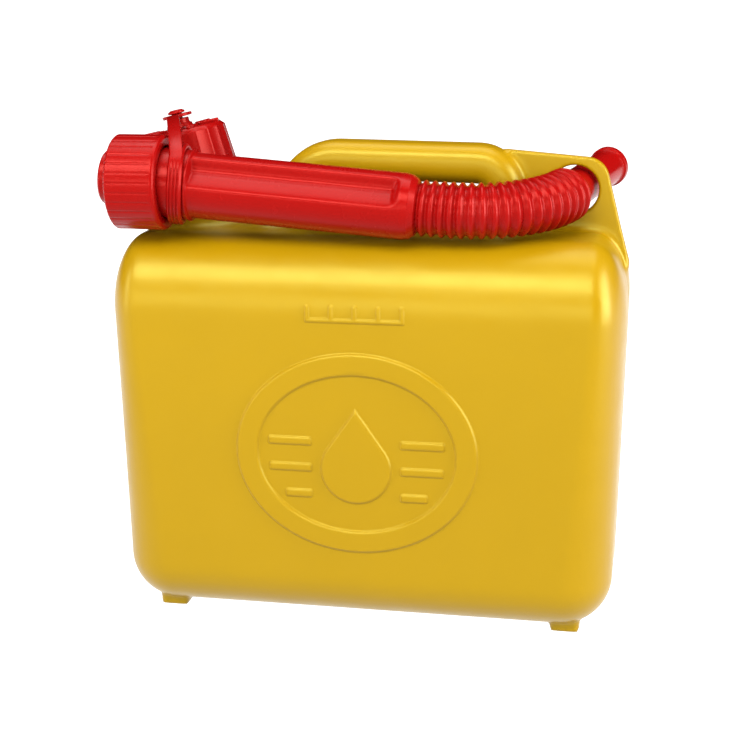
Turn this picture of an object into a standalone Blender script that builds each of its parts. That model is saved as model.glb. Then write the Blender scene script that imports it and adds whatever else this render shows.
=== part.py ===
"""Five-litre fuel canister with a slanted screw-capped neck and a flexible spout stored along its top.

All dimensions below are millimetres; make_node() turns them into metres.
X runs along the can, -Y is the front face, +Z is up. The origin is on the ground, at the middle of
the footprint of the whole object. Coordinates inside the script are taken from the middle of the
can body, and the empty named can_frame moves them to that origin.
"""

import math

import bpy
import bmesh
from mathutils import Matrix, Vector

MM = 0.001
GAP = 0.3  # clearance between pieces that touch
STEP = 0.2  # height of a groove's sloping end

# Can body
LENGTH = 265.0
DEPTH = 120.0
WALL = 2.5
FLOOR_Z = 4.0
TOP_Z = 204.5
SHOULDER_RISE = 38.0
SHOULDER_RUN_X = 18.5
SHOULDER_RUN_Y = 30.0
CORNER_R = 25.0
BOTTOM_R = 26.0
END_TAPER = 3.4  # how far each end leans in from shoulder to floor
FOOT_X = 106.0
FOOT_Y = 34.0
FOOT_SIZE = (15.5, 17.0)
FOOT_RISE = 7.0  # how far a foot reaches into the rounded underside

# Raised marks on the front face
MARK_ROOT = 1.0  # how far each mark reaches into the wall
BADGE_Z = 97.7
BADGE_R = 52.5  # half of its height
BADGE_WIDER = 9.5  # how much farther it reaches to each side than up and down
BADGE_BAND = 11.0
BADGE_HEIGHT = 1.4
DROP_R = 18.0
DROP_BELOW = 8.0  # from the badge's middle down to the middle of the drop's round part
DROP_TIP = 1.75  # height of the tip over the round part's radius
LEVEL_BARS = 3
LEVEL_LOWEST = -22.0
LEVEL_PITCH = 14.0
LEVEL_WIDTH = 4.0
LEVEL_MARGIN = 5.0
LEVEL_HEIGHT = 1.0
FILL_MARK = 50.0
FILL_Z = 166.0
FILL_LINE = 2.0
FILL_TICKS = 5
FILL_TICK_TOP = 174.5
FILL_HEIGHT = 0.8

# Hollow grip
GRIP_HEIGHT = 20.0
GRIP_DEPTH = 26.0
GRIP_LEFT = (-61.0, 188.0)
GRIP_TOP_LEFT = (-33.5, 240.0)
GRIP_TOP_RIGHT = (68.0, 238.3)
GRIP_RIGHT = (68.0, 188.0)
GRIP_FILLETS = (24.0, 14.0)
GRIP_CORNER_R = 8.5

# Web between the grip and the right shoulder
WEB_THICK = 4.5
WEB_CORNERS = (
    (66.0, 185.0),
    (66.0, 246.0),
    (118.3, 241.6),
    (127.2, 207.0),
    (132.4, 188.0),
    (126.0, 172.0),
)
WEB_FILLETS = (4.0, 12.0, 30.0, 8.0)
WEB_HOLE = (103.4, 225.9)
WEB_HOLE_R = 12.5

# Filler neck, measured along its own axis from the lower edge of the closed cap
NECK_LEAN = math.radians(13.0)
NECK_Y = 8.0
CAP_FOOT = (-102.1, NECK_Y, 230.1)
NECK_BORE_R = 17.0
NECK_R = 20.0
NECK_RIM = 18.2
NECK_COLLAR_R = 23.0
NECK_BASE_R = 27.0
NECK_FOOT = -34.0
NECK_BASE_TOP = -22.0
NECK_COLLAR_LOW = -12.0

# Filler cap
CAP_R = 25.2
CAP_TOP_R = 23.8
CAP_BORE_R = 21.8
CAP_HEIGHT = 24.0
CAP_WALL = 3.0  # thickness of its top
CAP_HEM = 2.0
CAP_EDGE = 2.5
CAP_RIBS = 24
CAP_RIB_DEPTH = 0.8
CAP_BARS = 6
CAP_BAR = ((10.0, -1.2), (20.5, -1.2), (20.5, 1.2), (10.0, 1.2))
CAP_BAR_HEIGHT = 1.6
BOSS_R = 6.0
BOSS_HEIGHT = 5.6
STUD_R = 2.7
STUD_HEAD_R = 4.6
STUD_HEAD_THICK = 2.0
STUD_HEIGHT = 10.4
EYELET_LIFT = 6.3
EYELET_R = 8.0
EYELET_THICK = 1.6

# Tether strap
STRAP_WIDTH = 6.6
STRAP_THICK = 1.5
STRAP_STEPS = 8
LOOP_R = 20.6
LOOP_HALF = 3.8
LOOP_RIDGES = 3
LOOP_RIDGE_HEIGHT = 0.8
LOOP_BACK = 30.9  # along the tube from the nut's free end, at the loop's back
LOOP_SWAY = 4.3  # how much nearer the nozzle the slack front of the loop lies
BAND_ANGLE = math.radians(55.0)  # up from the front, where the band leaves the loop
BAND_RISE = (-3.5, 10.5, 10.5)
BAND_CROWN = (6.0, -20.0, 3.5)

# Spout, stored with its straight tube sloping down to the right
SPOUT_Y = -42.5
NUT_END = (-124.9, SPOUT_Y, 233.9)
TUBE_SLOPE = 0.08
TUBE_R = 16.5
TUBE_WALL = 1.6
TUBE_END_X = 30.0
SPIGOT_R = 13.75
SPIGOT_WALL = 2.3
SPIGOT_REACH = 7.0
SPOUT_FLANGE = 3.5  # thickness of the flange held inside the nut
NUT_R = 24.0
NUT_BORE_R = 21.8
NUT_LENGTH = 26.0
NUT_WALL = 3.0  # thickness of its end
NUT_RIM = 0.8
NUT_RIBS = 30
NUT_RIB_DEPTH = 0.9
NUT_CHAMFER = 1.6
NUT_PLAY = 0.9  # clearance of the loose nut round the collar and the flange
NUT_SLACK = 1.9  # gap between the nut's end wall and the flange
COLLAR_R = 17.6
COLLAR_END = LOOP_BACK + LOOP_SWAY + LOOP_HALF + GAP
FLANGE_R = 18.2
FLANGE_THICK = 0.7
TUBE_NECK = 8.0  # length of the tube's narrowing end
FLUTE_ANGLE = math.radians(-33.6)  # from the front, negative upwards
FLUTE_WIDTH = math.radians(60.0)
FLUTE_DEPTH = 4.8  # at its middle
FLUTE_SLOPE = 1.6  # length of its sloping ends
FLUTE_MARGIN = 1.4  # how much farther each end reaches inside the bore

# Bellows
BEND = math.radians(70.0)
BEND_R = 52.0
BELLOWS_END_Y = SPOUT_Y + BEND_R * (1 - math.cos(BEND))
BELLOWS_END_X = WEB_HOLE[0] + BELLOWS_END_Y / math.tan(BEND)
BELLOWS_STRAIGHT = BELLOWS_END_X - BEND_R * math.sin(BEND) - TUBE_END_X
BELLOWS_LENGTH = BELLOWS_STRAIGHT + BEND_R * BEND  # in plan view
CREST_R = 14.0
ROOT_R = 12.1
BELLOWS_BORE_R = 10.6
CREST_PITCH = 4.6
SEGMENTS = 6
NOZZLE_RISE = 0.14  # slope of the nozzle

# Nozzle
NOZZLE_R = 9.8
NOZZLE_LIP_R = 10.6
NOZZLE_BORE_R = 8.0
NOZZLE_LENGTH = 56.0

YELLOW = (0.66, 0.37, 0.012)
RED = (0.52, 0.016, 0.012)
SEAL_GREY = (0.045, 0.045, 0.05)


def reset_scene():
    """Removes whatever objects the open scene holds."""
    for obj in list(bpy.data.objects):
        bpy.data.objects.remove(obj, do_unlink=True)


def principled(name, colour, roughness):
    """A plain Principled material."""
    material = bpy.data.materials.new(name)
    material.use_nodes = True
    shader = material.node_tree.nodes["Principled BSDF"]
    shader.inputs["Base Color"].default_value = (*colour, 1.0)
    shader.inputs["Roughness"].default_value = roughness
    shader.inputs["Metallic"].default_value = 0.0
    return material


def axes_matrix(origin, z_axis, x_hint):
    """Frame with its Z along z_axis and its X as close to x_hint as that allows."""
    z = Vector(z_axis).normalized()
    y = z.cross(Vector(x_hint)).normalized()
    x = y.cross(z)
    frame = Matrix((x, y, z)).transposed().to_4x4()
    frame.translation = Vector(origin)
    return frame


def make_node(name, mesh_data, frame, material, parent):
    """Object from (points, faces) given in millimetres in the frame."""
    points, faces = mesh_data
    mesh = bpy.data.meshes.new(name)
    mesh.from_pydata([Vector(p) * MM for p in points], [], faces)
    work = bmesh.new()
    work.from_mesh(mesh)
    bmesh.ops.recalc_face_normals(work, faces=work.faces)
    work.to_mesh(mesh)
    work.free()
    mesh.shade_smooth()
    mesh.set_sharp_from_angle(angle=math.radians(35))
    obj = bpy.data.objects.new(name, mesh)
    bpy.context.scene.collection.objects.link(obj)
    place = frame.copy()
    place.translation = frame.translation * MM
    obj.parent = parent
    obj.matrix_local = place
    if material:
        mesh.materials.append(material)
    return obj


def make_cutter(name, mesh_data, frame, parent):
    """Helper solid that only feeds a Boolean."""
    obj = make_node(name, mesh_data, frame, None, parent)
    obj.hide_render = True
    obj.display_type = "WIRE"
    return obj


def combine(obj, tool, operation):
    """Boolean modifier on obj."""
    modifier = obj.modifiers.new(f"{operation.lower()}_{tool.name}", "BOOLEAN")
    modifier.operation = operation
    modifier.solver = "EXACT"
    modifier.object = tool


def loft(rings, closed=False):
    """Skin over rings of equal length; its ends are capped unless the rings close on themselves."""
    count = len(rings[0])
    points = [p for ring in rings for p in ring]
    faces = []
    last = len(rings) if closed else len(rings) - 1
    for i in range(last):
        a = i * count
        b = (i + 1) % len(rings) * count
        for k in range(count):
            n = (k + 1) % count
            faces.append((a + k, a + n, b + n, b + k))
    if not closed:
        faces.append(tuple(reversed(range(count))))
        faces.append(tuple(range(len(points) - count, len(points))))
    return points, faces


def circle(radius, height, sides, shape=None):
    """Ring of points; shape(angle) gives how far each point lies inside the radius."""
    ring = []
    for k in range(sides):
        angle = 2 * math.pi * k / sides
        r = radius - (shape(angle) if shape else 0.0)
        ring.append((r * math.cos(angle), r * math.sin(angle), height))
    return ring


def turned(profile, sides, shapes=None):
    """Solid turned about Z from a closed profile of (radius, height) points that stays off the axis."""
    shapes = shapes or {}
    rings = [circle(r, h, sides, shapes.get(i)) for i, (r, h) in enumerate(profile)]
    return loft(rings, closed=True)


def turned_solid(profile, sides, shapes=None):
    """Solid turned about Z from an open profile, closed by a flat cap at each end."""
    shapes = shapes or {}
    return loft([circle(r, h, sides, shapes.get(i)) for i, (r, h) in enumerate(profile)])


def rounded_rectangle(half_x, half_y, radius, steps):
    """Outline of a rounded rectangle about the origin, anticlockwise."""
    radius = min(radius, half_x - 0.5, half_y - 0.5)
    outline = []
    for quarter, (sx, sy) in enumerate(((1, 1), (-1, 1), (-1, -1), (1, -1))):
        for k in range(steps + 1):
            angle = math.pi / 2 * (quarter + k / steps)
            x = sx * (half_x - radius) + radius * math.cos(angle)
            y = sy * (half_y - radius) + radius * math.sin(angle)
            outline.append((x, y))
    return outline


def filleted(corners, radii, steps):
    """Open polyline whose inner corners are replaced by arcs."""
    points = [Vector(corners[0])]
    for before, corner, after, radius in zip(corners, corners[1:], corners[2:], radii):
        corner = Vector(corner)
        to_a = (Vector(before) - corner).normalized()
        to_b = (Vector(after) - corner).normalized()
        half = to_a.angle(to_b) / 2
        centre = corner + (to_a + to_b).normalized() * radius / math.sin(half)
        start = corner + to_a * radius / math.tan(half) - centre
        end = corner + to_b * radius / math.tan(half) - centre
        for k in range(steps + 1):
            points.append(centre + start.slerp(end, k / steps).normalized() * radius)
    points.append(Vector(corners[-1]))
    return points


def plate(outline, low, high):
    """Flat plate: a closed (x, z) outline given thickness along Y from low to high."""
    front = [(x, low, z) for x, z in outline]
    back = [(x, high, z) for x, z in outline]
    return loft([front, back])


def body_rings(inset, corner_steps, rounding_steps):
    """Rings of the can's box from floor to top; inset shrinks it evenly for the inside."""
    low = FLOOR_Z + inset
    high = TOP_Z - inset
    bottom_r = BOTTOM_R - inset
    rise = SHOULDER_RISE - inset
    run_x = SHOULDER_RUN_X - inset
    run_y = SHOULDER_RUN_Y - inset
    levels = []
    for k in range(rounding_steps + 1):
        angle = math.pi / 2 * k / rounding_steps
        share = 1 - math.sin(angle)
        levels.append((low + bottom_r * (1 - math.cos(angle)), bottom_r * share, bottom_r * share))
    for k in range(rounding_steps + 1):
        angle = math.pi / 2 * k / rounding_steps
        share = 1 - math.cos(angle)
        levels.append((high - rise + rise * math.sin(angle), run_x * share, run_y * share))
    rings = []
    for z, in_x, in_y in levels:
        lean = END_TAPER * max(0.0, high - rise - z) / (high - rise - low)
        half_x = LENGTH / 2 - inset - in_x - lean
        half_y = DEPTH / 2 - inset - in_y
        radius = max(CORNER_R - inset - 0.5 * max(in_x, in_y), 6.0)
        outline = rounded_rectangle(half_x, half_y, radius, corner_steps)
        rings.append([(x, y, z) for x, y in outline])
    return rings


def grip_loft(inset, steps, corner_steps):
    """The grip's rounded section swept along its path, down into the can at both ends."""
    corners = (GRIP_LEFT, GRIP_TOP_LEFT, GRIP_TOP_RIGHT, GRIP_RIGHT)
    path = filleted(corners, GRIP_FILLETS, steps)
    section = rounded_rectangle(
        GRIP_HEIGHT / 2 - inset, GRIP_DEPTH / 2 - inset, GRIP_CORNER_R - inset, corner_steps
    )
    rings = []
    for i, point in enumerate(path):
        ahead = path[min(i + 1, len(path) - 1)] - point
        behind = point - path[max(i - 1, 0)]
        along = (ahead.normalized() + behind.normalized()).normalized()
        across = Vector((-along.y, along.x))
        rings.append(
            [(point.x + across.x * u, v, point.y + across.y * u) for u, v in section]
        )
    return loft(rings)


def web_outline():
    """Side view of the web, from inside the grip to the right shoulder."""
    return filleted(WEB_CORNERS, WEB_FILLETS, 5)


def neck_frame():
    """Frame of the filler neck: Z up its axis from the lower edge of the closed cap."""
    return axes_matrix(CAP_FOOT, neck_axis(), (0, -1, 0))


def neck_axis():
    """Direction in which the neck leans, up and to the left."""
    return Vector((-math.sin(NECK_LEAN), 0, math.cos(NECK_LEAN)))


def tube_axis():
    """Direction of the spout's straight tube, to the right."""
    return Vector((1, 0, -TUBE_SLOPE)).normalized()


def tube_frame(distance=0.0):
    """Frame on the tube's axis: Z along it, X to the front, at a distance from the nut's free end."""
    origin = Vector(NUT_END) + tube_axis() * distance
    return axes_matrix(origin, tube_axis(), (0, -1, 0))


def bellows_point(s):
    """Point on the middle line of the bellows at a plan length s from the tube."""
    total = BELLOWS_LENGTH
    start_z = NUT_END[2] - TUBE_SLOPE * (TUBE_END_X - NUT_END[0])
    end_z = WEB_HOLE[1] + BELLOWS_END_Y * NOZZLE_RISE / math.sin(BEND)
    turn = min(max(s - BELLOWS_STRAIGHT, 0.0) / BEND_R, BEND)
    x = TUBE_END_X + min(s, BELLOWS_STRAIGHT) + BEND_R * math.sin(turn)
    y = SPOUT_Y + BEND_R * (1 - math.cos(turn))
    t = s / total
    height = (2 * t**3 - 3 * t**2 + 1) * start_z + (3 * t**2 - 2 * t**3) * end_z
    height += total * (t**3 - 2 * t**2 + t) * -TUBE_SLOPE
    height += total * (t**3 - t**2) * NOZZLE_RISE
    return Vector((x, y, height))


def nozzle_axis():
    """Direction in which the nozzle passes through the web."""
    return Vector((math.cos(BEND), math.sin(BEND), NOZZLE_RISE)).normalized()


def bellows_frame(s):
    """Frame on the middle line: Z along it, X roughly to the front."""
    step = 0.05
    low = max(s - step, 0.0)
    high = min(s + step, BELLOWS_LENGTH)
    along = bellows_point(high) - bellows_point(low)
    side = Vector((along.y, -along.x, 0))
    return axes_matrix(bellows_point(s), along, side)


def hinge_length(index):
    """Plan length of hinge number index, counted from 1 at the tube."""
    return BELLOWS_STRAIGHT + BEND_R * BEND * (index - 0.5) / (SEGMENTS - 1)


def drop_outline(radius, centre_z, tip_ratio, steps):
    """Fuel drop: a round bottom and two straight flanks meeting in a point."""
    flank = math.acos(1 / tip_ratio)
    outline = []
    for k in range(steps + 1):
        angle = math.pi / 2 + flank + (2 * math.pi - 2 * flank) * k / steps
        outline.append((radius * math.cos(angle), centre_z + radius * math.sin(angle)))
    outline.append((0.0, centre_z + radius * tip_ratio))
    return outline


def raised_ring(outer_r, inner_r, centre_z, height):
    """Flat oval ring raised from the front face."""
    face = -DEPTH / 2
    rings = []
    for radius, y in (
        (outer_r, MARK_ROOT),
        (outer_r, -height),
        (inner_r, -height),
        (inner_r, MARK_ROOT),
    ):
        wider = 1 + BADGE_WIDER / radius
        ring = circle(radius, 0, 48)
        rings.append([(x * wider, face + y, centre_z + z) for x, z, _ in ring])
    return loft(rings, closed=True)


def bar(x0, x1, z0, z1, height):
    """Raised bar on the front face."""
    face = -DEPTH / 2
    outline = ((x0, z0), (x1, z0), (x1, z1), (x0, z1))
    return plate(outline, face - height, face + MARK_ROOT)


def level_bars(side):
    """Short bars beside the drop, each reaching towards the ring."""
    bars = []
    inner_r = BADGE_R - BADGE_BAND - LEVEL_MARGIN
    near = side * (DROP_R + LEVEL_MARGIN)
    for index in range(LEVEL_BARS):
        offset = LEVEL_LOWEST + LEVEL_PITCH * index
        far = side * math.sqrt(inner_r**2 - offset**2) * (1 + BADGE_WIDER / inner_r)
        low = BADGE_Z + offset - LEVEL_WIDTH / 2
        bars.append(bar(min(near, far), max(near, far), low, low + LEVEL_WIDTH, LEVEL_HEIGHT))
    return bars


def fill_mark():
    """Level line with ticks standing on it."""
    left = -FILL_MARK / 2
    marks = [bar(left, left + FILL_MARK, FILL_Z, FILL_Z + FILL_LINE, FILL_HEIGHT)]
    for index in range(FILL_TICKS):
        x = left + (FILL_MARK - FILL_LINE) * index / (FILL_TICKS - 1)
        marks.append(bar(x, x + FILL_LINE, FILL_Z + 1.0, FILL_TICK_TOP, FILL_HEIGHT))
    return marks


def raised_marks():
    """Ring badge with a fuel drop and level bars beside it, and the fill mark above."""
    face = -DEPTH / 2
    drop = drop_outline(DROP_R, BADGE_Z - DROP_BELOW, DROP_TIP, 20)
    marks = [
        raised_ring(BADGE_R, BADGE_R - BADGE_BAND, BADGE_Z, BADGE_HEIGHT),
        plate(drop, face - BADGE_HEIGHT, face + MARK_ROOT),
    ]
    return marks + level_bars(-1) + level_bars(1) + fill_mark()


def build_can(parent, material):
    """The blow-moulded can: shell, hollow grip, neck, feet and raised marks."""
    here = Matrix.Identity(4)
    can = make_node("can_body", loft(body_rings(0.0, 6, 7)), here, material, parent)
    additions = [
        ("grip", grip_loft(0.0, 5, 3), here),
        ("neck", turned_solid(neck_profile(), 32), neck_frame()),
    ]
    for index, mark in enumerate(raised_marks(), start=1):
        additions.append((f"mark_{index}", mark, here))
    for index, (sx, sy) in enumerate(((-1, -1), (1, -1), (1, 1), (-1, 1)), start=1):
        foot = rounded_rectangle(FOOT_SIZE[0] / 2, FOOT_SIZE[1] / 2, 3.0, 2)
        rings = [
            [(sx * FOOT_X + x, sy * FOOT_Y + y, z) for x, y in foot] for z in (0.0, FLOOR_Z + FOOT_RISE)
        ]
        additions.append((f"foot_{index}", loft(rings), here))
    for name, shape, frame in additions:
        combine(can, make_cutter(f"{name}_add", shape, frame, parent), "UNION")
    bore = [(NECK_BORE_R, NECK_FOOT), (NECK_BORE_R, NECK_RIM + 5.0)]
    removals = [
        ("inside", loft(body_rings(WALL, 4, 4)), here),
        ("grip_inside", grip_loft(WALL, 3, 2), here),
        ("neck_bore", turned_solid(bore, 28), neck_frame()),
    ]
    for name, shape, frame in removals:
        combine(can, make_cutter(f"{name}_cut", shape, frame, parent), "DIFFERENCE")
    return can


def build_holder(parent, material):
    """The web that holds the nozzle: a plate between the grip and the right shoulder, with a hole."""
    here = Matrix.Identity(4)
    plate_shape = plate(web_outline(), -WEB_THICK / 2, WEB_THICK / 2)
    holder = make_node("nozzle_holder", plate_shape, here, material, parent)
    hole = [(x + WEB_HOLE[0], y + WEB_HOLE[1]) for x, y, _ in circle(WEB_HOLE_R, 0, 28)]
    removals = [
        ("shoulder", loft(body_rings(-GAP, 6, 7))),
        ("grip_end", grip_loft(-GAP, 5, 3)),
        ("hole", plate(hole, -WEB_THICK, WEB_THICK)),
    ]
    for name, shape in removals:
        combine(holder, make_cutter(f"{name}_cut", shape, here, parent), "DIFFERENCE")
    return holder


def neck_profile():
    """Outside of the neck, from inside the can up to its rim."""
    return [
        (NECK_BASE_R, NECK_FOOT),
        (NECK_BASE_R, NECK_BASE_TOP),
        (NECK_COLLAR_R, NECK_COLLAR_LOW),
        (NECK_COLLAR_R, -GAP),
        (NECK_R, -GAP),
        (NECK_R, NECK_RIM),
    ]


def ribbed(count, depth):
    """Shape of a grip surface: evenly spaced narrow grooves."""
    return lambda angle: depth * (math.cos(count * angle) < -0.5)


def build_cap(frame, material, parent):
    """Screw cap with a ribbed skirt, open below, and a mushroom stud on a boss on its top."""
    ribs = ribbed(CAP_RIBS, CAP_RIB_DEPTH)
    ceiling = CAP_HEIGHT - CAP_WALL
    profile = [
        (CAP_BORE_R, ceiling),
        (CAP_BORE_R, 0.0),
        (CAP_R, 0.0),
        (CAP_R, CAP_HEM),
        (CAP_R, CAP_HEM + STEP),
        (CAP_TOP_R, CAP_HEIGHT - CAP_EDGE),
        (CAP_TOP_R - CAP_EDGE, CAP_HEIGHT),
    ]
    shell = turned_solid(profile, 3 * CAP_RIBS, {4: ribs, 5: ribs})
    cap = make_node("filler_cap", shell, frame, material, parent)
    head = CAP_HEIGHT + STUD_HEIGHT
    sunk = CAP_HEIGHT - CAP_WALL / 3
    stud = [
        (BOSS_R, sunk),
        (BOSS_R, CAP_HEIGHT + BOSS_HEIGHT),
        (STUD_R, CAP_HEIGHT + BOSS_HEIGHT + STEP),
        (STUD_R, head - STUD_HEAD_THICK - STEP),
        (STUD_HEAD_R, head - STUD_HEAD_THICK),
        (STUD_HEAD_R, head - 0.4 * STUD_HEAD_THICK),
        (STUD_HEAD_R - 1.2, head),
    ]
    combine(cap, make_cutter("stud_add", turned_solid(stud, 20), frame, parent), "UNION")
    for index in range(CAP_BARS):
        angle = 2 * math.pi * (index + 0.5) / CAP_BARS
        turn = Matrix.Rotation(angle, 4, "Z")
        block = [[(x, y, z) for x, y in CAP_BAR] for z in (sunk, CAP_HEIGHT + CAP_BAR_HEIGHT)]
        bar_tool = make_cutter(f"cap_bar_{index + 1}", loft(block), frame @ turn, parent)
        combine(cap, bar_tool, "UNION")
    return cap


def build_strap(frame, material, parent):
    """Tether: eyelet round the cap's stud, flat strap, and a ridged loop round the spout's collar."""
    low = CAP_HEIGHT + EYELET_LIFT
    eyelet = [
        (STUD_R + GAP, low),
        (EYELET_R, low),
        (EYELET_R, low + EYELET_THICK),
        (STUD_R + GAP, low + EYELET_THICK),
    ]
    strap = make_node("tether_strap", turned(eyelet, 28), frame, material, parent)
    low = LOOP_BACK - LOOP_HALF
    high = LOOP_BACK + LOOP_HALF
    loop_profile = [(COLLAR_R + GAP, low)]
    for k in range(2 * LOOP_RIDGES + 1):
        radius = LOOP_R if k % 2 else LOOP_R - LOOP_RIDGE_HEIGHT
        loop_profile.append((radius, low + (high - low) * k / (2 * LOOP_RIDGES)))
    loop_profile.append((COLLAR_R + GAP, high))
    points, faces = turned(loop_profile, 32)
    points = [(x, y, z + loop_sway(math.atan2(y, x))) for x, y, z in points]
    loop = make_cutter("loop_add", (points, faces), tube_frame(), parent)
    band = make_cutter("band_add", strap_band(), Matrix.Identity(4), parent)
    combine(strap, loop, "UNION")
    combine(strap, band, "UNION")
    return strap


def loop_sway(angle):
    """How far the loop lies along the tube from its back, at an angle from the front."""
    return LOOP_SWAY * ((1 + math.cos(angle)) / 2) ** 2


def strap_band():
    """Flat band from the loop's upper front, over the nut's end and the cap's edge, to the eyelet."""
    radius = LOOP_R - STRAP_THICK / 2
    out = Vector((radius * math.cos(BAND_ANGLE), -radius * math.sin(BAND_ANGLE), 0.0))
    start = tube_frame(LOOP_BACK + loop_sway(BAND_ANGLE)) @ out
    end_z = CAP_HEIGHT + EYELET_LIFT + EYELET_THICK / 2
    end = neck_frame() @ Vector((EYELET_R - 1.2, 0.0, end_z))
    rise = start + Vector(BAND_RISE)
    crown = end + Vector(BAND_CROWN)
    rings = []
    for k in range(STRAP_STEPS + 1):
        t = k / STRAP_STEPS
        point, along = cubic(start, rise, crown, end, t)
        lean = NECK_LEAN * t + math.atan(TUBE_SLOPE) * (1 - t)
        across = Vector((math.cos(lean), 0, math.sin(lean)))
        across = (across - along * across.dot(along)).normalized() * STRAP_WIDTH / 2
        up = across.cross(along).normalized() * STRAP_THICK / 2
        corners = ((-1, -1), (1, -1), (1, 1), (-1, 1))
        rings.append([point + across * a + up * b for a, b in corners])
    return loft(rings)


def cubic(p0, p1, p2, p3, t):
    """Point and unit tangent of a cubic Bezier curve."""
    u = 1 - t
    point = p0 * u**3 + p1 * 3 * u * u * t + p2 * 3 * u * t * t + p3 * t**3
    along = (p1 - p0) * u * u + (p2 - p1) * 2 * u * t + (p3 - p2) * t * t
    return point, along.normalized()


def nut_frame():
    """Frame of the loose union nut, which hangs level while the spout slopes through it."""
    reach = NUT_LENGTH - NUT_WALL / 2
    pivot = tube_frame(reach).translation
    return axes_matrix(pivot - Vector((reach, 0, 0)), (1, 0, 0), (0, -1, 0))


def build_nut(frame, material, parent):
    """Union nut: knurled outside, open to the left, with a hole for the spout's collar."""
    ribs = ribbed(NUT_RIBS, NUT_RIB_DEPTH)
    end_wall = NUT_LENGTH - NUT_WALL
    profile = [
        (NUT_BORE_R, 0.0),
        (NUT_R - NUT_RIM, 0.0),
        (NUT_R, NUT_RIM),
        (NUT_R, NUT_LENGTH - NUT_CHAMFER - STEP),
        (NUT_R, NUT_LENGTH - NUT_CHAMFER),
        (NUT_R - NUT_CHAMFER, NUT_LENGTH),
        (COLLAR_R + NUT_PLAY, NUT_LENGTH),
        (COLLAR_R + NUT_PLAY, end_wall),
        (NUT_BORE_R, end_wall),
    ]
    shapes = {1: ribs, 2: ribs, 3: ribs}
    return make_node("union_nut", turned(profile, 3 * NUT_RIBS, shapes), frame, material, parent)


def flute(angle):
    """Depth of the tube's two opposite flutes at an angle from the front, outside and in the bore."""
    depth = 0.0
    for middle in (FLUTE_ANGLE, FLUTE_ANGLE + math.pi):
        away = abs((angle - middle + math.pi) % (2 * math.pi) - math.pi) / (FLUTE_WIDTH / 2)
        depth += FLUTE_DEPTH * max(0.0, 1.0 - away**2)
    return depth


def build_tube(frame, material, parent):
    """Spout tube: inlet spigot, flange, collar, fluted tube and the shoulder to the bellows."""
    end = tube_length()
    bore = SPIGOT_R - SPIGOT_WALL
    inner = TUBE_R - TUBE_WALL
    flange_face = NUT_LENGTH - NUT_WALL - NUT_SLACK
    flange_back = flange_face - SPOUT_FLANGE
    tube_start = COLLAR_END + 2 * FLANGE_THICK
    profile = [
        (bore, -SPIGOT_REACH),
        (SPIGOT_R - 1.5, -SPIGOT_REACH),
        (SPIGOT_R, -SPIGOT_REACH + 1.5),
        (SPIGOT_R, flange_back),
        (NUT_BORE_R - NUT_PLAY, flange_back),
        (NUT_BORE_R - NUT_PLAY, flange_face),
        (COLLAR_R, flange_face),
        (COLLAR_R, COLLAR_END),
        (FLANGE_R, COLLAR_END),
        (FLANGE_R, COLLAR_END + FLANGE_THICK),
        (TUBE_R, tube_start),
        (TUBE_R, tube_start + FLUTE_SLOPE),
        (TUBE_R, end - TUBE_NECK - FLUTE_SLOPE),
        (TUBE_R, end - TUBE_NECK),
        (TUBE_R - 0.8, end - TUBE_NECK / 2),
        (CREST_R, end - 1.5),
        (ROOT_R, end),
        (BELLOWS_BORE_R, end),
        (inner, end - TUBE_NECK + FLUTE_MARGIN),
        (inner, end - TUBE_NECK + FLUTE_MARGIN - FLUTE_SLOPE),
        (inner, tube_start - FLUTE_MARGIN + FLUTE_SLOPE),
        (inner, tube_start - FLUTE_MARGIN),
        (inner, flange_face + 1.0),
        (bore, flange_back),
    ]
    shapes = {11: flute, 12: flute, 19: flute, 20: flute}
    return make_node("spout_tube", turned(profile, 36, shapes), frame, material, parent)


def tube_length():
    """Distance along the tube from the nut's free end to the bellows."""
    return (TUBE_END_X - NUT_END[0]) / tube_axis().x


def bellows_radii(s0, s1):
    """Plan lengths and radii of the corrugated outside between s0 and s1."""
    steps = max(2, round((s1 - s0) / (CREST_PITCH / 2)))
    steps += steps % 2
    stations = []
    for k in range(steps + 1):
        radius = CREST_R if k % 2 else ROOT_R
        stations.append((s0 + (s1 - s0) * k / steps, radius))
    return stations


def bellows_segment(index):
    """One stretch of the bellows between two hinges, hollow right through."""
    low = GAP / 2 if index == 1 else hinge_length(index - 1) + GAP / 2
    high = BELLOWS_LENGTH - GAP / 2 if index == SEGMENTS else hinge_length(index) - GAP / 2
    sides = 18
    rings = []
    for s, radius in bellows_radii(low, high):
        frame = bellows_frame(s)
        rings.append([frame @ Vector(p) for p in circle(radius, 0, sides)])
    for s in (high, (low + high) / 2, low):
        frame = bellows_frame(s)
        rings.append([frame @ Vector(p) for p in circle(BELLOWS_BORE_R, 0, sides)])
    return loft(rings, closed=True)


def build_bellows(material, parent):
    """The bellows as short stretches, each with its origin on the hinge nearer the nozzle."""
    for index in range(1, SEGMENTS + 1):
        pivot = bellows_point(hinge_length(min(index, SEGMENTS - 1)))
        points, faces = bellows_segment(index)
        frame = Matrix.Translation(pivot)
        make_node(
            f"bellows_{index}", ([p - pivot for p in points], faces), frame, material, parent
        )


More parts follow.
